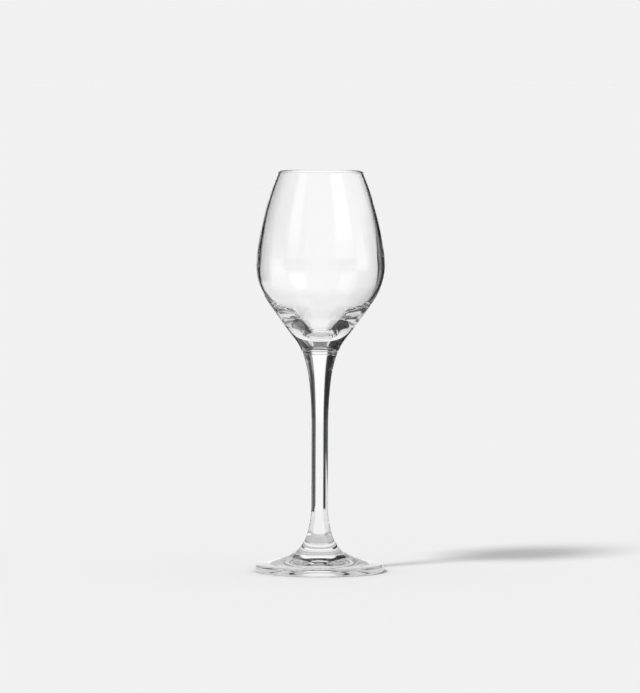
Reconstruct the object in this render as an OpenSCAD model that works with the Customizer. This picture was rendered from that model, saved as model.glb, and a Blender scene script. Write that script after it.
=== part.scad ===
// Liqueur glass: a tulip bowl with a funnel-shaped hollow, a slim drawn stem and a pressed round foot.
// The three pieces are fused together hot, at two level joints.
// Each piece is a revolve. Its half outline is a stack of level slices, and every slice ends in one arc
// that carries on smoothly from the arc of the slice next to it.

/* [Bowl] */
// Height of the bowl above its joint with the stem
bowl_h = 74; // [71:0.5:78]
// Outside diameter at the rim
rim_d = 35.2; // [32:0.2:38]
// Outside diameter at the widest level
belly_d = 53.2; // [52:0.2:55]
// Height of the widest level above the joint
belly_up = 35.6; // [34.5:0.1:37]
// Radius of the curve round the widest level
belly_arc = 26.3; // [25:0.1:27]
// Degrees that this curve runs up from the widest level
shoulder_turn = 7.4; // [6:0.1:9]
// Degrees that this curve runs down from the widest level
base_turn = 32.8; // [31:0.1:34]
// Thickness of the wall at the rim
rim_t = 1.1; // [0.9:0.05:1.3]
// Difference in radius between the widest levels of the outside and of the hollow
belly_t = 1.6; // [1.3:0.05:1.9]
// Thickness of the solid base under the hollow
base_t = 6.6; // [6:0.1:7.4]
// Radius of the round at the bottom of the hollow
well_arc = 11.6; // [10:0.1:13]
// Degrees that the funnel leans from upright where it leaves this round
well_turn = 51; // [50.5:0.1:51.5]
// Radius of the slow curve of the funnel
funnel_arc = 205; // [180:1:230]
// Degrees that the funnel leans from upright where it gives way to the curve round the hollow's widest level
funnel_turn = 47; // [46.5:0.1:47.5]
// Degrees that this curve runs up past the hollow's widest level
hollow_turn = 3.4; // [3:0.1:5]
// Diameter where the base turns into the neck
neck_d = 21.4; // [20:0.1:23]
// Height of the neck above the joint
neck_up = 5.2; // [4.5:0.1:6]
// Radius of the hollow curve of the neck
neck_arc = 20; // [16:0.5:26]

/* [Stem] */
// Height of the stem between its two joints
stem_h = 75.8; // [70:0.2:84]
// Diameter of the straight part of the stem
waist_d = 6.86; // [6:0.02:8]
// Diameter at the top, under the rounded edge at the bowl
top_d = 14.5; // [13.5:0.1:15]
// Height of the upper flare
upper_flare_h = 31.4; // [29:0.1:34]
// Radius of the slow first curve of the upper flare
upper_arc = 175; // [150:1:200]
// Degrees that the slow first curve turns outwards
upper_turn = 5.8; // [5:0.1:6.4]
// Height of the lower flare
lower_flare_h = 12.4; // [11:0.1:14]
// Rounding of the edges that meet in the groove between bowl and stem
seam_round = 0.6; // [0.4:0.05:0.7]

/* [Foot] */
// Diameter of the foot
foot_d = 52.8; // [50:0.2:56]
// Height of the foot up to its joint with the stem
foot_h = 15.2; // [14.8:0.1:16]
// Diameter of the joint between stem and foot
ankle_d = 10.5; // [10:0.1:11]
// Slope of the top of the foot at its edge, in degrees
plate_slope = 6; // [5:0.5:8]
// Radius of the slow curve of the top of the foot
plate_arc = 44; // [40:0.5:48]
// Slope, in degrees, at which that curve gives way to the quick sweep up to the stem
spread_slope = 22; // [20:0.5:24]
// Thickness of the foot at its edge
edge_t = 3.25; // [2.8:0.05:3.6]
// Rounding of the upper corner of the edge
edge_top_round = 1.2; // [0.9:0.05:1.4]
// Rounding of the lower corner of the edge
edge_low_round = 0.8; // [0.5:0.05:1.1]
// Width of the flat ring that the glass stands on
ring_w = 4.5; // [3:0.1:7]
// Depth of the shallow dome under the foot
dome_h = 1.6; // [1:0.1:2.4]

/* [Hidden] */
$fn = 240;
glass_tint = [0.86, 0.91, 0.92, 0.4];
// Larger than any slice
reach = 200;
// How far the round of the rim stands proud of the wall on each side
lip_bead = 0.002;

// A length rounded to a thousandth of a millimetre
function micron(length) = round(length * 1000) / 1000;

// Radius of the arc that leaves point p square to direction n and passes through point q
function arc_radius(p, n, q) = micron(((q - p) * (q - p)) / (2 * ((q - p) * n)));

// How far an arc's edge stands from its centre line at level z
function half_width(arc_c, arc_r, z) = sqrt(pow(arc_r, 2) - pow(z - arc_c.y, 2));

// Directions square to an edge that leans from upright by an angle
function up_out(angle) = [cos(angle), sin(angle)];
function down_out(angle) = [cos(angle), -sin(angle)];

// Levels of the two joints, of the rim's round and of the top
ankle_z = foot_h;
joint_z = ankle_z + stem_h;
top_z = joint_z + bowl_h;
rim_z = top_z - rim_t / 2;

// Outside of the bowl, from the widest level up to the rim and down to the neck
belly_c = [belly_d / 2 - belly_arc, joint_z + belly_up];
shoulder = belly_c + belly_arc * up_out(shoulder_turn);
wall_arc = arc_radius(shoulder, -up_out(shoulder_turn), [rim_d / 2, rim_z]);
wall_c = shoulder - wall_arc * up_out(shoulder_turn);
base = belly_c + belly_arc * down_out(base_turn);
neck_z = joint_z + neck_up;
cone_arc = arc_radius(base, -down_out(base_turn), [neck_d / 2, neck_z]);
cone_c = base - cone_arc * down_out(base_turn);
neck = [cone_c.x + half_width(cone_c, cone_arc, neck_z), neck_z];
neck_c = neck + (neck - cone_c) * neck_arc / cone_arc;
nose_z = joint_z + seam_round;
nose_r = neck_c.x - half_width(neck_c, neck_arc, nose_z);

// Hollow of the bowl: a round well, a funnel, a curve round the widest level and a steep wall
well_c = [0, joint_z + base_t + well_arc];
well_end = well_c + well_arc * down_out(well_turn);
funnel_c = well_end - funnel_arc * down_out(well_turn);
funnel_end = funnel_c + funnel_arc * down_out(funnel_turn);
hollow_arc = micron((belly_d / 2 - belly_t - funnel_end.x) / (1 - cos(funnel_turn)));
hollow_c = funnel_end - hollow_arc * down_out(funnel_turn);
hollow_top = hollow_c + hollow_arc * up_out(hollow_turn);
lining_arc = arc_radius(hollow_top, -up_out(hollow_turn), [rim_d / 2 - rim_t, rim_z]);
lining_c = hollow_top - lining_arc * up_out(hollow_turn);

// Stem: two arcs flare it out to the bowl and one to the foot
waist_top = [waist_d / 2, joint_z - upper_flare_h];
upper_c = waist_top + [upper_arc, 0];
knee = upper_c - upper_arc * down_out(upper_turn);
crown_z = joint_z - seam_round;
crown_arc = arc_radius(knee, down_out(upper_turn), [top_d / 2, crown_z]);
crown_c = knee + crown_arc * down_out(upper_turn);
crown_r = crown_c.x - half_width(crown_c, crown_arc, crown_z);
waist_low = [waist_d / 2, ankle_z + lower_flare_h];
lower_arc = arc_radius(waist_low, [1, 0], [ankle_d / 2, ankle_z]);
lower_c = waist_low + [lower_arc, 0];

// Top of the foot, from its rounded edge in to the sweep that meets the stem
edge_c = [foot_d / 2 - edge_top_round, edge_t - edge_top_round];
plate_end = edge_c + edge_top_round * up_out(90 - plate_slope);
plate_c = plate_end + plate_arc * up_out(90 - plate_slope);
spread_end = plate_c - plate_arc * up_out(90 - spread_slope);
spread_arc = arc_radius(spread_end, up_out(90 - spread_slope), [ankle_d / 2, ankle_z]);
spread_c = spread_end + spread_arc * up_out(90 - spread_slope);

// Underside of the foot
low_c = [foot_d / 2 - edge_low_round, edge_low_round];
dome_r = low_c.x - ring_w;
dome_arc = (pow(dome_r, 2) + pow(dome_h, 2)) / (2 * dome_h);

// Places its children by a coarse and a fine step, so that arcs with a common end meet there exactly
module at(p) {
    coarse = [micron(p.x), micron(p.y)];
    translate(coarse) translate(p - coarse) children();
}

// Level slice from the axis out to a width
module band(z_low, z_high, width) {
    difference() {
        at([0, z_low]) square([width, reach]);
        at([0, z_high]) square([width, reach]);
    }
}

// Level slice that swells out to an arc
module swell(z_low, z_high, arc_c, arc_r) {
    intersection() {
        band(z_low, z_high, reach);
        at(arc_c) circle(arc_r);
    }
}

// Level slice that an arc hollows from outside
module flare(z_low, z_high, arc_c, arc_r) {
    difference() {
        band(z_low, z_high, arc_c.x);
        at(arc_c) circle(arc_r);
    }
}

// Level slice from an end face at end_z to the level z, with the corner of the end face rounded
module rounded_end(r, z, end_z) {
    round_r = abs(end_z - z);
    band(min(z, end_z), max(z, end_z), r - round_r);
    intersection() {
        band(min(z, end_z), max(z, end_z), reach);
        at([r - round_r, z]) circle(round_r);
    }
}

// Fire-polished round that closes the wall at the rim, a hair wider than the wall
module lip() {
    outer_r = wall_c.x + half_width(wall_c, wall_arc, rim_z);
    inner_r = lining_c.x + half_width(lining_c, lining_arc, rim_z);
    lip_r = micron((outer_r - inner_r) / 2) + lip_bead;
    at([(outer_r + inner_r) / 2, top_z - lip_r]) circle(lip_r);
}

// Tulip bowl: thin rim, wall that thickens downwards, solid base drawn in to a neck
module bowl() {
    color(glass_tint) rotate_extrude() {
        lip();
        difference() {
            union() {
                swell(shoulder.y, rim_z, wall_c, wall_arc);
                swell(base.y, shoulder.y, belly_c, belly_arc);
                swell(neck.y, base.y, cone_c, cone_arc);
                flare(nose_z, neck.y, neck_c, neck_arc);
                rounded_end(nose_r, nose_z, joint_z);
            }
            swell(well_c.y - well_arc, well_end.y, well_c, well_arc);
            swell(well_end.y, funnel_end.y, funnel_c, funnel_arc);
            swell(funnel_end.y, hollow_top.y, hollow_c, hollow_arc);
            swell(hollow_top.y, top_z, lining_c, lining_arc);
        }
    }
}

// Solid stem: straight waist between two flares
module stem() {
    color(glass_tint) rotate_extrude() {
        flare(ankle_z, waist_low.y, lower_c, lower_arc);
        band(waist_low.y, waist_top.y, waist_d / 2);
        flare(waist_top.y, knee.y, upper_c, upper_arc);
        flare(knee.y, crown_z, crown_c, crown_arc);
        rounded_end(crown_r, crown_z, joint_z);
    }
}

// Pressed foot: top that sweeps down from the stem, rounded edge, flat ring and shallow dome underneath
module foot() {
    color(glass_tint) rotate_extrude() {
        flare(spread_end.y, ankle_z, spread_c, spread_arc);
        flare(plate_end.y, spread_end.y, plate_c, plate_arc);
        difference() {
            union() {
                band(0, plate_end.y, edge_c.x);
                band(0, low_c.y, low_c.x);
                band(low_c.y, edge_c.y, foot_d / 2);
                at(edge_c) circle(edge_top_round);
                at(low_c) circle(edge_low_round);
            }
            at([0, dome_h - dome_arc]) circle(dome_arc);
        }
    }
}

bowl();
stem();
foot();
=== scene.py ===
# %% [markdown]
# # A liqueur glass in clear glass
# The real thing is three pieces of soda glass, fused while they were hot: a tulip bowl, a solid stem and a
# pressed foot. Clear glass has hardly any colour of its own. What the eye reads is its outline and what it
# bends and mirrors, so the lesson has two halves: exact, smooth surfaces, and a studio that gives them
# something to bend.

# %% Load the frame
import math

import bmesh
import bpy
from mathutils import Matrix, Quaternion, Vector


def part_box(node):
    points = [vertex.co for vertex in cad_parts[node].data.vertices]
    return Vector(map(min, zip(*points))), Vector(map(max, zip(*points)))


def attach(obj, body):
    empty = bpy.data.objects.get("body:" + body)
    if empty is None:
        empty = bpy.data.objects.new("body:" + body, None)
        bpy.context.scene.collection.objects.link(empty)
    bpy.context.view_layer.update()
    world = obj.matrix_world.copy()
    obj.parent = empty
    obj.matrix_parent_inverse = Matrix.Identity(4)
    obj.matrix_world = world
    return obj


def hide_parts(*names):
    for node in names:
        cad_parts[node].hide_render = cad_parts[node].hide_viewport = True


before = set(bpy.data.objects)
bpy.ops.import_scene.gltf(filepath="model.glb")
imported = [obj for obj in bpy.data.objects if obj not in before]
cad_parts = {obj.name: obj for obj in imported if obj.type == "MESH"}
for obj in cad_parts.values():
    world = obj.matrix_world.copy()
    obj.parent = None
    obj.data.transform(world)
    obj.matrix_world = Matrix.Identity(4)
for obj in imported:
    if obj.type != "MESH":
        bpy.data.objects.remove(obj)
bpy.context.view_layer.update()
MM = 0.001


def in_mm(length):
    return round(length / MM, 2)


# %% [markdown]
# ## The camera
# The photograph was taken from far away with a long lens, a little above the rim: the foot shows as a flat
# ellipse and the rim as an almost closed one. The view is written down in plain measures: how far off the
# camera stands, how high, the level that it looks at, the length of the lens, and a slight roll and sideways
# shift.

# %% Place the camera
side_shift = 0.06 * MM
camera_far = 2524 * MM
camera_high = 243 * MM
look_level = 92.8 * MM
lens_length = 319.4
film_width = 36
roll_angle = 0.2
view_end = 40

lens = bpy.data.cameras.new("long lens")
lens.sensor_width = film_width
lens.lens = lens_length
lens.clip_end = view_end
camera = bpy.data.objects.new("camera", lens)
camera.location = (-side_shift, -camera_far, camera_high)
aim = Vector((-side_shift, 0, look_level)) - camera.location
camera_roll = Quaternion((0, 0, 1), math.radians(roll_angle))
camera.rotation_euler = (aim.to_track_quat("-Z", "Y") @ camera_roll).to_euler()
bpy.context.collection.objects.link(camera)
bpy.context.scene.camera = camera
print("camera looks down by", round(math.degrees(math.asin(-aim.z / aim.length)), 2), "degrees")

# %% [markdown]
# ## How an outline is drawn
# Every piece was turned or pressed, so it is one half outline swept round the upright axis. The outline
# could be a freehand curve, but a maker's template is made of arcs that run smoothly into each other. The
# first helpers give a direction from its lean, and the radius of an arc that leaves a point square to a
# direction and passes through a second point.

# %% Directions and radii
def up_out(angle):
    return Vector((math.cos(math.radians(angle)), math.sin(math.radians(angle))))


def down_out(angle):
    return Vector((math.cos(math.radians(angle)), -math.sin(math.radians(angle))))


def arc_radius(start, square, end):
    chord = end - start
    return chord.length_squared / (2 * chord.dot(square))


def half_width(centre, radius, level):
    return math.sqrt(radius**2 - (level - centre.y) ** 2)


print("an edge that leans by 30 degrees faces", [round(v, 3) for v in up_out(30)])

# %% [markdown]
# ## Walking along an outline
# Glass shows every facet, so the steps are short: half a millimetre, or six degrees on a tight round. A
# subdivided rough curve would be smooth too, but it wouldn't pass through the measured points.

# %% Steps along arcs and lines
STEP = 0.5 * MM
TURN_STEP = math.radians(6)


def arc(centre, start, end):
    first, last = start - centre, end - centre
    turn = first.angle_signed(last)
    radius = first.length
    count = max(2, math.ceil(abs(turn) * max(radius / STEP, 1 / TURN_STEP)))
    angle = math.atan2(first.y, first.x)
    return [
        centre + radius * Vector((math.cos(angle - turn * k / count), math.sin(angle - turn * k / count)))
        for k in range(1, count + 1)
    ]


def line(start, end):
    count = max(1, math.ceil((end - start).length / (2 * STEP)))
    return [start.lerp(end, k / count) for k in range(1, count + 1)]


print("a line of 10 mm takes", len(line(Vector((0, 0)), Vector((10 * MM, 0)))), "steps")

# %% [markdown]
# ## Levels
# The three pieces meet at two level joints. Their heights and the two largest widths come from the frame,
# so the dressed glass always sits exactly where the solid parts are. At the upper joint both edges are
# rounded by the same small radius, and the two rounds leave a fine groove.

# %% Levels taken from the frame
bowl_low, bowl_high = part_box("bowl")
foot_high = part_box("foot")[1]
joint_z, top_z, ankle_z = bowl_low.z, bowl_high.z, foot_high.z
belly_r, foot_r = bowl_high.x, foot_high.x
seam_round = 0.6 * MM
print("joints at", in_mm(joint_z), "and", in_mm(ankle_z), "mm, rim at", in_mm(top_z), "mm")

# %% [markdown]
# ## The stem's outline
# The stem was drawn out of hot glass, so it is straight only in the middle and flares at both ends. The
# upper flare is slow at first and quick under the bowl, which takes two arcs; the lower one needs a single
# arc.

# %% Outline of the stem
waist_r = 3.43 * MM
upper_flare_h = 31.4 * MM
upper_arc = 175 * MM
upper_turn = 5.8
lower_flare_h = 12.4 * MM
stem_top_r = 7.25 * MM
ankle_r = 5.25 * MM

waist_top = Vector((waist_r, joint_z - upper_flare_h))
waist_low = Vector((waist_r, ankle_z + lower_flare_h))
ankle = Vector((ankle_r, ankle_z))
upper_c = waist_top + Vector((upper_arc, 0))
knee = upper_c - upper_arc * down_out(upper_turn)
crown = Vector((stem_top_r, joint_z - seam_round))
crown_c = knee + arc_radius(knee, down_out(upper_turn), crown) * down_out(upper_turn)
lower_c = waist_low + Vector((arc_radius(waist_low, Vector((1, 0)), ankle), 0))
seam_r = stem_top_r - seam_round

stem_outline = [Vector((0, ankle_z)), ankle]
stem_outline += arc(lower_c, ankle, waist_low)
stem_outline += line(waist_low, waist_top)
stem_outline += arc(upper_c, waist_top, knee)
stem_outline += arc(crown_c, knee, crown)
stem_outline += arc(Vector((seam_r, crown.y)), crown, Vector((seam_r, joint_z)))
stem_outline += [Vector((0, joint_z))]
print("stem outline:", len(stem_outline), "points")

# %% [markdown]
# ## The outside of the bowl
# The bowl is blown, and its rim is melted round in a flame. Three bulging arcs run from the rim over the
# belly to the base, and a hollow arc draws the base in to the neck. Each arc starts in the direction in
# which the one before it ends, so no crease catches the light.

# %% Outside of the bowl
rim_r = 17.6 * MM
rim_t = 1.1 * MM
belly_up = 35.6 * MM
belly_arc = 26.3 * MM
shoulder_turn = 7.4
base_turn = 32.8
neck_r = 10.7 * MM
neck_up = 5.2 * MM
neck_arc = 20 * MM

rim_z = top_z - rim_t / 2
rim_out = Vector((rim_r, rim_z))
belly_c = Vector((belly_r - belly_arc, joint_z + belly_up))
shoulder = belly_c + belly_arc * up_out(shoulder_turn)
wall_c = shoulder - arc_radius(shoulder, -up_out(shoulder_turn), rim_out) * up_out(shoulder_turn)
base = belly_c + belly_arc * down_out(base_turn)
neck = Vector((neck_r, joint_z + neck_up))
cone_arc = arc_radius(base, -down_out(base_turn), neck)
cone_c = base - cone_arc * down_out(base_turn)
neck_c = neck + (neck - cone_c) * neck_arc / cone_arc
nose_z = joint_z + seam_round
nose = Vector((neck_c.x - half_width(neck_c, neck_arc, nose_z), nose_z))
print("widest", in_mm(2 * belly_r), "mm, at a height of", in_mm(belly_c.y), "mm")

# %% [markdown]
# ## The hollow of the bowl
# The inside isn't a copy of the outside. A round well at the bottom opens into a funnel, which turns
# quickly into the steep wall, so the glass is thin at the rim and heavy at the base. That heavy base is a
# lens: the dark patches and the white smile above the stem come from it, and a plain round bottom gives
# neither.

# %% Hollow of the bowl
belly_t = 1.6 * MM
base_t = 6.6 * MM
well_arc = 11.6 * MM
well_turn = 51
funnel_arc = 205 * MM
funnel_turn = 47
hollow_turn = 3.4

well_c = Vector((0, joint_z + base_t + well_arc))
well_end = well_c + well_arc * down_out(well_turn)
funnel_c = well_end - funnel_arc * down_out(well_turn)
funnel_end = funnel_c + funnel_arc * down_out(funnel_turn)
hollow_arc = (belly_r - belly_t - funnel_end.x) / (1 - down_out(funnel_turn).x)
hollow_c = funnel_end - hollow_arc * down_out(funnel_turn)
hollow_top = hollow_c + hollow_arc * up_out(hollow_turn)
rim_in = Vector((rim_r - rim_t, rim_z))
lining_c = hollow_top - arc_radius(hollow_top, -up_out(hollow_turn), rim_in) * up_out(hollow_turn)
print("wall", in_mm(rim_t), "mm thick at the rim, base", in_mm(base_t), "mm")

# %% [markdown]
# ## Joining both sides
# One closed outline runs from the joint up the outside, over the rim and down the hollow to the axis. The
# rim is half a circle, as the flame leaves it; a bevel on a square edge would be quicker, and would look
# cut.

# %% Outline of the bowl
lip_c = (rim_out + rim_in) / 2
lip_top = Vector((lip_c.x, top_z))

bowl_outline = [Vector((0, joint_z)), Vector((seam_r, joint_z)), Vector((nose.x - seam_round, joint_z))]
bowl_outline += arc(Vector((nose.x - seam_round, nose_z)), bowl_outline[-1], nose)
bowl_outline += arc(neck_c, nose, neck)
bowl_outline += arc(cone_c, neck, base)
bowl_outline += arc(belly_c, base, shoulder)
bowl_outline += arc(wall_c, shoulder, rim_out)
bowl_outline += arc(lip_c, rim_out, lip_top)
bowl_outline += arc(lip_c, lip_top, rim_in)
bowl_outline += arc(lining_c, rim_in, hollow_top)
bowl_outline += arc(hollow_c, hollow_top, funnel_end)
bowl_outline += arc(funnel_c, funnel_end, well_end)
bowl_outline += arc(well_c, well_end, Vector((0, joint_z + base_t)))
print("bowl outline:", len(bowl_outline), "points")

# %% [markdown]
# ## The foot's outline
# The foot was pressed and then polished in the flame. Its top comes down from the stem in a quick sweep,
# flattens into a gently sloping plate and ends in a rounded edge. Underneath, a flat ring stands on the
# table, round a shallow dome that keeps the middle off it.

# %% Outline of the foot
plate_slope = 6
plate_arc = 44 * MM
spread_slope = 22
edge_t = 3.25 * MM
edge_top_round = 1.2 * MM
edge_low_round = 0.8 * MM
ring_w = 4.5 * MM
dome_h = 1.6 * MM

plate_square = up_out(90 - plate_slope)
spread_square = up_out(90 - spread_slope)
edge_c = Vector((foot_r - edge_top_round, edge_t - edge_top_round))
plate_end = edge_c + edge_top_round * plate_square
plate_c = plate_end + plate_arc * plate_square
spread_end = plate_c - plate_arc * spread_square
spread_c = spread_end + arc_radius(spread_end, spread_square, ankle) * spread_square
low_c = Vector((foot_r - edge_low_round, edge_low_round))
dome_r = low_c.x - ring_w
dome_top = Vector((0, dome_h))
dome_c = Vector((0, dome_h - (dome_r**2 + dome_h**2) / (2 * dome_h)))

foot_outline = [dome_top]
foot_outline += arc(dome_c, dome_top, Vector((dome_r, 0)))
foot_outline += line(Vector((dome_r, 0)), Vector((low_c.x, 0)))
foot_outline += arc(low_c, foot_outline[-1], Vector((foot_r, low_c.y)))
foot_outline += line(foot_outline[-1], Vector((foot_r, edge_c.y)))
foot_outline += arc(edge_c, foot_outline[-1], plate_end)
foot_outline += arc(plate_c, plate_end, spread_end)
foot_outline += arc(spread_c, spread_end, ankle)
foot_outline += [Vector((0, ankle_z))]
print("foot outline:", len(foot_outline), "points")

# %% [markdown]
# ## The finish: clear, fire-polished glass
# One shader does most of it: full transmission, the refractive index of soda glass and no roughness. Glass
# that was shaped hot is never quite even, so a slow noise tilts the surface by a hair. Real dents in the
# mesh would do the same at a far greater cost, and the outline has to stay exact.

# %% Make the glass
soda_glass_index = 1.52
ripples_per_metre = 90
ripple_tilt = 0.3
ripple_depth = 0.2 * MM

glass = bpy.data.materials.new("clear glass")
glass.use_nodes = True
melt = glass.node_tree
shine = melt.nodes["Principled BSDF"]
shine.inputs["Base Color"].default_value = (1, 1, 1, 1)
shine.inputs["Transmission Weight"].default_value = 1
shine.inputs["IOR"].default_value = soda_glass_index
shine.inputs["Roughness"].default_value = 0

ripple = melt.nodes.new("ShaderNodeTexNoise")
ripple.inputs["Scale"].default_value = ripples_per_metre
ripple.inputs["Detail"].default_value = 1
melt.links.new(melt.nodes.new("ShaderNodeTexCoord").outputs["Object"], ripple.inputs["Vector"])
tilt = melt.nodes.new("ShaderNodeBump")
tilt.inputs["Strength"].default_value = ripple_tilt
tilt.inputs["Distance"].default_value = ripple_depth
melt.links.new(ripple.outputs["Fac"], tilt.inputs["Height"])
melt.links.new(tilt.outputs["Normal"], shine.inputs["Normal"])
print(glass.name, "with ripples about", in_mm(1 / ripples_per_metre), "mm long")

# %% [markdown]
# ## The shadow of thin glass
# Blender gives glass a full shadow unless it traces caustics, which are slow and grainy. On the real glass
# the thin upper wall lets most of the light through and the heavy base throws it aside. For shadow rays
# alone, a transparent shader stands in for the glass: dark at the base, nearly clear at the rim.

# %% Let light through the thin wall
heavy_up = 25 * MM
base_passes, rim_passes = 0.25, 0.97

height_of = melt.nodes.new("ShaderNodeSeparateXYZ")
melt.links.new(melt.nodes.new("ShaderNodeNewGeometry").outputs["Position"], height_of.inputs[0])
thin = melt.nodes.new("ShaderNodeMapRange")
melt.links.new(height_of.outputs["Z"], thin.inputs["Value"])
thin.inputs["From Min"].default_value = joint_z + heavy_up
thin.inputs["From Max"].default_value = top_z
thin.inputs["To Min"].default_value = base_passes
thin.inputs["To Max"].default_value = rim_passes
clear = melt.nodes.new("ShaderNodeBsdfTransparent")
melt.links.new(thin.outputs["Result"], clear.inputs["Color"])
shade = melt.nodes.new("ShaderNodeMixShader")
melt.links.new(melt.nodes.new("ShaderNodeLightPath").outputs["Is Shadow Ray"], shade.inputs[0])
melt.links.new(shine.outputs[0], shade.inputs[1])
melt.links.new(clear.outputs[0], shade.inputs[2])
melt.links.new(shade.outputs[0], melt.nodes["Material Output"].inputs["Surface"])
print("a surface passes", base_passes, "of the lamp's light at the base and", rim_passes, "at the rim")

# %% [markdown]
# ## The fused seams
# Where two pieces are fused there is no surface left for light to meet. As meshes the pieces still need
# closed ends, so those end faces take a second material that lets light straight through. One joined mesh
# would avoid this, and would lose the three pieces.

# %% Make the fused seam
seam = bpy.data.materials.new("fused seam")
seam.use_nodes = True
seam.node_tree.nodes.clear()
through = seam.node_tree.nodes.new("ShaderNodeBsdfTransparent")
seam_out = seam.node_tree.nodes.new("ShaderNodeOutputMaterial")
seam.node_tree.links.new(through.outputs[0], seam_out.inputs["Surface"])
print("materials:", glass.name, "and", seam.name)

# %% [markdown]
# ## Sweeping an outline
# Blender's Screw modifier would sweep an outline live. The spin operator of bmesh does it once and leaves a
# plain mesh, whose end faces can then be given the seam material by their height and distance from the
# axis.

# %% Helper that sweeps
ROUND = 240
SHARP = math.radians(40)
TOUCH = 1e-7
HAIR = 1e-6


def sweep(name, outline, seam_levels):
    shape = bmesh.new()
    points = [shape.verts.new((p.x, 0, p.y)) for p in outline]
    edges = [shape.edges.new(pair) for pair in zip(points, points[1:])]
    bmesh.ops.spin(
        shape,
        geom=points + edges,
        cent=(0, 0, 0),
        axis=(0, 0, 1),
        angle=math.tau,
        steps=ROUND,
        use_merge=True,
    )
    bmesh.ops.remove_doubles(shape, verts=shape.verts, dist=TOUCH)
    bmesh.ops.recalc_face_normals(shape, faces=shape.faces)
    fused = 0
    for face in shape.faces:
        face.smooth = True
        spread = max(v.co.xy.length for v in face.verts)
        for level, width in seam_levels:
            if spread < width + HAIR and all(abs(v.co.z - level) < TOUCH for v in face.verts):
                face.material_index = 1
                fused += 1
    mesh = bpy.data.meshes.new(name)
    shape.to_mesh(mesh)
    shape.free()
    mesh.materials.append(glass)
    mesh.materials.append(seam)
    mesh.set_sharp_from_angle(angle=SHARP)
    piece = bpy.data.objects.new(name, mesh)
    bpy.context.collection.objects.link(piece)
    print(name, len(mesh.polygons), "faces,", fused, "of them fused")
    return piece


print("a sweep takes", ROUND, "steps")

# %% [markdown]
# ## The three pieces
# Each sweep gets its outline and the levels at which it is fused to a neighbour. Then each piece is tied to
# the solid part that it dresses. Nothing on a glass moves, so all three ride on the one body.

# %% Sweep the pieces and tie them to the frame
tulip_bowl = sweep("tulip_bowl", bowl_outline, [(joint_z, seam_r)])
drawn_stem = sweep("drawn_stem", stem_outline, [(joint_z, seam_r), (ankle_z, ankle_r)])
pressed_foot = sweep("pressed_foot", foot_outline, [(ankle_z, ankle_r)])

for piece, node in ((tulip_bowl, "bowl"), (drawn_stem, "stem"), (pressed_foot, "foot")):
    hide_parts(node)
    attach(piece, "root")
    print(piece.name, "stands for", node)

# %% [markdown]
# ## The light that falls
# A soft lamp, high on the left and in front, throws the long shadow to the right. The rest comes evenly
# from all round. The two shares add up to one, so the paper is lit to exactly its own colour wherever no
# shadow lies. Clear glass in a studio is lit by what stands round it, so the lamp itself isn't shown to the
# glass.

# %% Hang the lamp
to_lamp = Vector((-90, -84, 128)).normalized()
lamp_height = math.degrees(math.asin(to_lamp.z))
lamp_share = 0.45
lamp_spread = 11
lamp = bpy.data.lights.new("soft lamp", "SUN")
lamp.angle = math.radians(lamp_spread)
lamp.energy = lamp_share * math.pi / to_lamp.z
lamp_holder = bpy.data.objects.new("soft lamp", lamp)
lamp_holder.rotation_euler = to_lamp.to_track_quat("Z", "Y").to_euler()
bpy.context.collection.objects.link(lamp_holder)
lamp_holder.visible_glossy = False
lamp_holder.visible_transmission = False
ambient = 1 - lamp_share
print("lamp stands", round(lamp_height), "degrees high and gives", lamp_share, "of the light")

# %% [markdown]
# ## Sums in a shader
# The studio is painted with sums of levels. Four helpers write them: one adds a step of arithmetic to a
# node tree, one makes a soft edge, one keeps what lies between two edges, and one lays a level over another
# wherever a mask is white.

# %% Helpers for node sums
def calc(tree, operation, *values):
    step = tree.nodes.new("ShaderNodeMath")
    step.operation = operation
    for socket, value in zip(step.inputs, values):
        if isinstance(value, bpy.types.NodeSocket):
            tree.links.new(value, socket)
        else:
            socket.default_value = value
    return step.outputs[0]


def edge(tree, value, place, soft):
    step = tree.nodes.new("ShaderNodeMapRange")
    step.interpolation_type = "SMOOTHSTEP"
    tree.links.new(value, step.inputs["Value"])
    step.inputs["From Min"].default_value = place - soft / 2
    step.inputs["From Max"].default_value = place + soft / 2
    return step.outputs["Result"]


def between(tree, value, low, high, soft):
    return calc(tree, "MULTIPLY", edge(tree, value, low, soft), edge(tree, value, high, -soft))


def lay(tree, under, mask, level):
    return calc(tree, "MULTIPLY_ADD", mask, calc(tree, "SUBTRACT", level, under), under)


print("helpers: calc, edge, between, lay")

# %% [markdown]
# ## The table
# The glass stands on a pale, matt, endless sweep of paper, which catches the shadow. A curved backdrop
# would hide the horizon as well, but with the world at the same level as the paper there is no horizon to
# hide.

# %% Lay the floor
PALE = 0.8797
floor_half = 12.0
corners = [(x * floor_half, y * floor_half, 0) for x, y in ((-1, -1), (1, -1), (1, 1), (-1, 1))]
floor_mesh = bpy.data.meshes.new("paper sweep")
floor_mesh.from_pydata(corners, [], [(0, 1, 2, 3)])
floor = bpy.data.objects.new("paper_sweep", floor_mesh)
bpy.context.collection.objects.link(floor)

paper = bpy.data.materials.new("matt paper")
paper.use_nodes = True
table = paper.node_tree
matt = table.nodes["Principled BSDF"]
matt.inputs["Base Color"].default_value = (PALE, PALE, PALE, 1)
matt.inputs["Roughness"].default_value = 1
matt.inputs["Specular IOR Level"].default_value = 0
floor_mesh.materials.append(paper)
print("paper and backdrop share the level", PALE)

# %% [markdown]
# ## Places on the table
# What the glass shows of the table depends on where its light comes from, so the shader needs the place on
# the paper: across, along, the distance from the glass, and the bearing. Bearing 0 is straight behind the
# glass, positive to the right.

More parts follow.
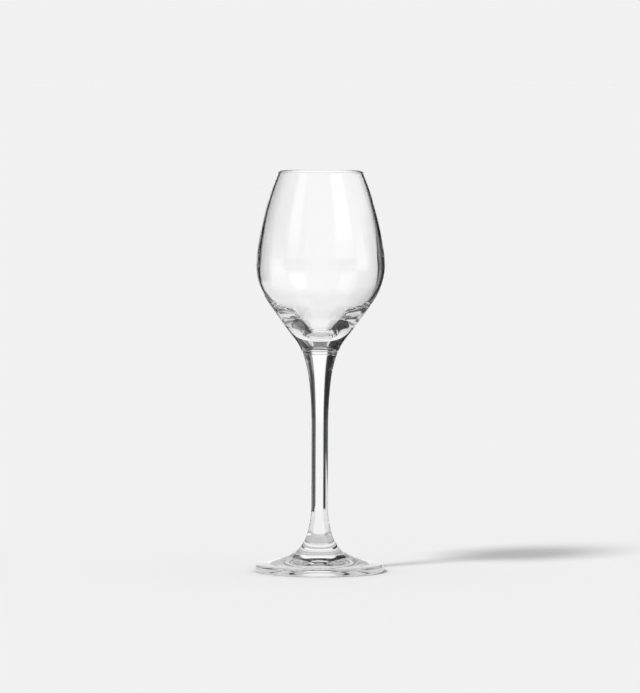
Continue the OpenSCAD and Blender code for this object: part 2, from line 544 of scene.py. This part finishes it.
# %% Measure places on the paper
place = table.nodes.new("ShaderNodeSeparateXYZ")
table.links.new(table.nodes.new("ShaderNodeNewGeometry").outputs["Position"], place.inputs[0])
across, along = place.outputs["X"], place.outputs["Y"]
squares = calc(table, "MULTIPLY_ADD", across, across, calc(table, "MULTIPLY", along, along))
distance = calc(table, "SQRT", squares)
bearing = calc(table, "DEGREES", calc(table, "ARCTAN2", across, along))
aside = calc(table, "ABSOLUTE", bearing)
print("places in metres, bearings in degrees")

# %% [markdown]
# ## The table far off
# Rays through the glass or off it see a table that is graded from pale to black. Far off it is pale on the
# left and in front, so that the glass stays clear from those sides, and dark on the right and behind on the
# left, where the edges of the glass need something dark to bend. The photograph shows none of this. The
# levels and edges here, and those of the room further down, were fitted to the tones inside the glass, and
# some were then changed.

# %% Grade the far table
soft_turn = 4
left_level, right_level = 0.82, 0.14
middle_soft = 20 * MM
front_near, front_far = 0.8, 0.65
front_change, front_fade = 800 * MM, 500 * MM
front_turn, front_soft = 110, 6
dark_left, dark_level = -77, 0.05

level = lay(table, left_level, edge(table, across, 0, middle_soft), right_level)
front_level = lay(table, front_near, edge(table, distance, front_change, front_fade), front_far)
level = lay(table, level, edge(table, aside, front_turn, front_soft), front_level)
level = lay(table, level, between(table, bearing, dark_left, 0, soft_turn), dark_level)
print("the table is dark behind from bearing", dark_left, "to 0")

# %% [markdown]
# ## The table close by
# A bright sheet lies under and round the glass. A black strip starts on it, behind the glass, and runs off
# to the left: the stem's lines end where the sheet begins, and the strip thickens the lower edge of the
# bowl. Straight behind, the paper stays pale all the way. Under the foot a painted shade darkens it.

# %% Lay the sheet and the strip
sheet_left, sheet_right, side_soft = -386 * MM, 94 * MM, 40 * MM
sheet_front, sheet_back, end_soft = -231 * MM, 516 * MM, 50 * MM
sheet_level = 0.78
strip_left, strip_start, strip_soft = -35, 190 * MM, 60 * MM
black_level = 0.01
door_left, door_right = -17.5, 20.7
door_near, backdrop_level = 0.92, 1.015
door_change, door_fade = 1.1, 1.2
# Painted shade under the foot: its level and the softness of its edge.
foot_painted_shade, painted_shade_soft = 0.58, 2 * MM

wide = between(table, across, sheet_left, sheet_right, side_soft)
deep = between(table, along, sheet_front, sheet_back, end_soft)
level = lay(table, level, calc(table, "MULTIPLY", wide, deep), sheet_level)
strip_away = edge(table, distance, strip_start, strip_soft)
strip = calc(table, "MULTIPLY", between(table, bearing, strip_left, 0, soft_turn), strip_away)
level = lay(table, level, strip, black_level)
behind = lay(table, door_near, edge(table, along, door_change, door_fade), backdrop_level)
level = lay(table, level, between(table, bearing, door_left, door_right, soft_turn), behind)
# Painted shade: the glow that the glass sees is darker under the foot.
level = lay(table, level, edge(table, distance, foot_r, -painted_shade_soft), foot_painted_shade)
print("the paper is pale from bearing", door_left, "to", door_right)

# %% [markdown]
# ## One paper, two looks
# Light Path tells the two apart: rays that come through the glass or off it see the graded table, a glow of
# painted light, all others see the plain paper with its shadow. Two floors with hidden rays would do it too,
# and would have to be kept in step.

# %% Swap the paper for rays from the glass
def seen_by_glass(tree):
    path = tree.nodes.new("ShaderNodeLightPath")
    return calc(tree, "MAXIMUM", path.outputs["Is Glossy Ray"], path.outputs["Is Transmission Ray"])


# The paper glows with painted light, at the graded levels, for rays from the glass.
glowing = table.nodes.new("ShaderNodeEmission")
table.links.new(level, glowing.inputs["Strength"])
swap = table.nodes.new("ShaderNodeMixShader")
table.links.new(seen_by_glass(table), swap.inputs[0])
table.links.new(matt.outputs[0], swap.inputs[1])
table.links.new(glowing.outputs[0], swap.inputs[2])
table.links.new(swap.outputs[0], table.nodes["Material Output"].inputs["Surface"])
print("paper of", len(table.nodes), "nodes")

# %% [markdown]
# ## A black card
# A pale glass on a pale ground needs dark lines. A photographer stands a black card beside it, just out of
# the picture, and the edges of the glass bend the card into view. This one is a curved sheet that stands
# nearer, where the camera would see it, so it is hidden from the camera. It is raised a little off the
# table and throws no shadow.

# %% Stand the card
card_off = 87 * MM
card_left, card_right = 27, 46
card_low, card_high = 9 * MM, 216 * MM
card_steps = 48

black = bpy.data.materials.new("matt black card")
black.use_nodes = True
coat = black.node_tree.nodes["Principled BSDF"]
coat.inputs["Base Color"].default_value = (black_level, black_level, black_level, 1)
coat.inputs["Roughness"].default_value = 1
coat.inputs["Specular IOR Level"].default_value = 0

card_span = card_right - card_left
turns = [math.radians(card_left + card_span * k / card_steps) for k in range(card_steps + 1)]
bend = [(card_off * math.sin(a), card_off * math.cos(a)) for a in turns]
card_points = [(x, y, z) for z in (card_low, card_high) for x, y in bend]
quads = [(k, k + 1, k + card_steps + 2, k + card_steps + 1) for k in range(card_steps)]
card_mesh = bpy.data.meshes.new("black card")
card_mesh.from_pydata(card_points, [], quads)
card_mesh.materials.append(black)
black_card = bpy.data.objects.new("right_black_card", card_mesh)
bpy.context.collection.objects.link(black_card)
black_card.visible_camera = False
black_card.visible_diffuse = False
black_card.visible_shadow = False
print("black card", in_mm(card_off), "mm off and", in_mm(card_high - card_low), "mm tall")

# %% [markdown]
# ## The room round the glass
# The rest of the studio stands far off, so only its direction counts. Real planes would do, but painted on
# the world they never get into the picture. Azimuth 0 is straight behind the glass, positive to the right,
# and height is measured up from the level.

# %% Read directions in the world
studio = bpy.data.worlds.new("pale studio")
bpy.context.scene.world = studio
studio.use_nodes = True
sky = studio.node_tree
sky.nodes.clear()
split = sky.nodes.new("ShaderNodeSeparateXYZ")
sky.links.new(sky.nodes.new("ShaderNodeTexCoord").outputs["Generated"], split.inputs[0])
azimuth = calc(sky, "DEGREES", calc(sky, "ARCTAN2", split.outputs["X"], split.outputs["Y"]))
height = calc(sky, "DEGREES", calc(sky, "ARCSINE", split.outputs["Z"]))
turn = calc(sky, "ABSOLUTE", azimuth)


def panel(left_end, right_end, low, high, soft=soft_turn):
    breadth = between(sky, azimuth, left_end, right_end, soft)
    return calc(sky, "MULTIPLY", breadth, between(sky, height, low, high, soft))


print("directions in degrees: azimuth and height")

# %% [markdown]
# ## Walls and ceiling
# The left wall and the ceiling are dark and the right wall is grey. Low down, the right wall is dark
# behind, where it draws the stem's left line, and pale beside the glass. A panel that reaches below or
# above every direction simply has no lower or upper edge.

# %% Paint the walls and the ceiling
ALL_DOWN, ALL_UP = -95, 95
left_wall, right_wall, corner_soft = 0.05, 0.29, 2
ceiling = 0.06
slope_side, slope_low, slope_soft = 100, 25, 10
ceiling_low, ceiling_soft = 49, 12
low_wall_dark, low_wall_pale = 0.12, 0.64
low_wall_start, low_wall_bend, low_wall_end = 20, 76, 110
low_wall_top, low_wall_soft = 10.5, 6

seen = lay(sky, left_wall, edge(sky, azimuth, 0, corner_soft), right_wall)
seen = lay(sky, seen, panel(-slope_side, slope_side, slope_low, ALL_UP, slope_soft), ceiling)
seen = lay(sky, seen, edge(sky, height, ceiling_low, ceiling_soft), ceiling)
dark_part = panel(low_wall_start, low_wall_bend, ALL_DOWN, low_wall_top, low_wall_soft)
seen = lay(sky, seen, dark_part, low_wall_dark)
pale_part = panel(low_wall_bend, low_wall_end, ALL_DOWN, low_wall_top, low_wall_soft)
seen = lay(sky, seen, pale_part, low_wall_pale)
print("walls and ceiling of", len(sky.nodes), "nodes")

# %% [markdown]
# ## Panels and the dim end
# Two bright panels stand in front, and the right one, over a black skirt, gives the long highlight on the
# bowl. The end beyond the camera is dim, so that the front of the glass doesn't milk over. Overhead there
# is a light panel behind the glass and a grey patch at the top.

# %% Hang the panels
key_left, key_right, key_low, key_high = 115, 154, 11, 48
key_level, fill_level = 1.1, 0.69
fill_left, fill_right, fill_low, fill_high, fill_soft = -139, -111, 11.5, 46, 8
dim_start, dim_low, dim_high, dim_soft = 150, 15, 60, 6
dim_level, dim_low_level = 0.24, 0.32
top_low, top_soft, top_level = 66, 8, 0.4
back_side, back_low, back_high, back_soft = 39, 46, 54, 5
back_level = 0.87

seen = lay(sky, seen, panel(low_wall_end, key_right, ALL_DOWN, key_low), black_level)
seen = lay(sky, seen, panel(key_left, key_right, key_low, key_high), key_level)
seen = lay(sky, seen, panel(fill_left, fill_right, fill_low, fill_high, fill_soft), fill_level)
front = edge(sky, turn, dim_start, dim_soft)
front_middle = calc(sky, "MULTIPLY", front, between(sky, height, dim_low, dim_high, dim_soft))
seen = lay(sky, seen, front_middle, dim_level)
front_low = calc(sky, "MULTIPLY", front, edge(sky, height, dim_low, -dim_soft))
seen = lay(sky, seen, front_low, dim_low_level)
seen = lay(sky, seen, edge(sky, height, top_low, top_soft), top_level)
seen = lay(sky, seen, panel(-back_side, back_side, back_low, back_high, back_soft), back_level)
print("room painted with", len(sky.nodes), "nodes")

# %% [markdown]
# ## The bright field
# Clear glass is photographed against a bright field with dark on both sides of it: the middle of the bowl
# shows the field, and the edge of every shape shows the dark. A second field at the far left keeps the
# glass clear when it is looked at from the side.

# %% Paint the backdrop
side_left, side_right, side_top, side_edge = -107, -73, 7, 6
side_level = 0.84
dark_top, field_top = 40, 27.5

seen = lay(sky, seen, panel(side_left, side_right, ALL_DOWN, side_top, side_edge), side_level)
seen = lay(sky, seen, panel(dark_left, 0, ALL_DOWN, dark_top), black_level)
seen = lay(sky, seen, panel(door_left, door_right, ALL_DOWN, field_top), backdrop_level)

camera_ray = sky.nodes.new("ShaderNodeLightPath").outputs["Is Camera Ray"]
shown = lay(sky, lay(sky, ambient, seen_by_glass(sky), seen), camera_ray, PALE)
glow = sky.nodes.new("ShaderNodeBackground")
glow.inputs["Color"].default_value = (1, 1, 1, 1)
sky.links.new(shown, glow.inputs["Strength"])
world_out = sky.nodes.new("ShaderNodeOutputWorld")
sky.links.new(glow.outputs[0], world_out.inputs["Surface"])
print("the camera sees", PALE, "and the paper is lit by", ambient, "from all round")

# %% [markdown]
# ## Long light paths
# In the heavy base a ray can bounce many times before it gets out. If it is cut short the base turns black,
# so the paths are long. Caustics stay off: they would only add grain to the shadow.

# %% Set the light paths
BOUNCES = 32
cycles = bpy.context.scene.cycles
cycles.max_bounces = BOUNCES
cycles.glossy_bounces = BOUNCES
cycles.transmission_bounces = BOUNCES
cycles.transparent_max_bounces = BOUNCES
cycles.caustics_reflective = False
cycles.caustics_refractive = False
bpy.context.scene.view_settings.view_transform = "Standard"
print("up to", BOUNCES, "bounces")
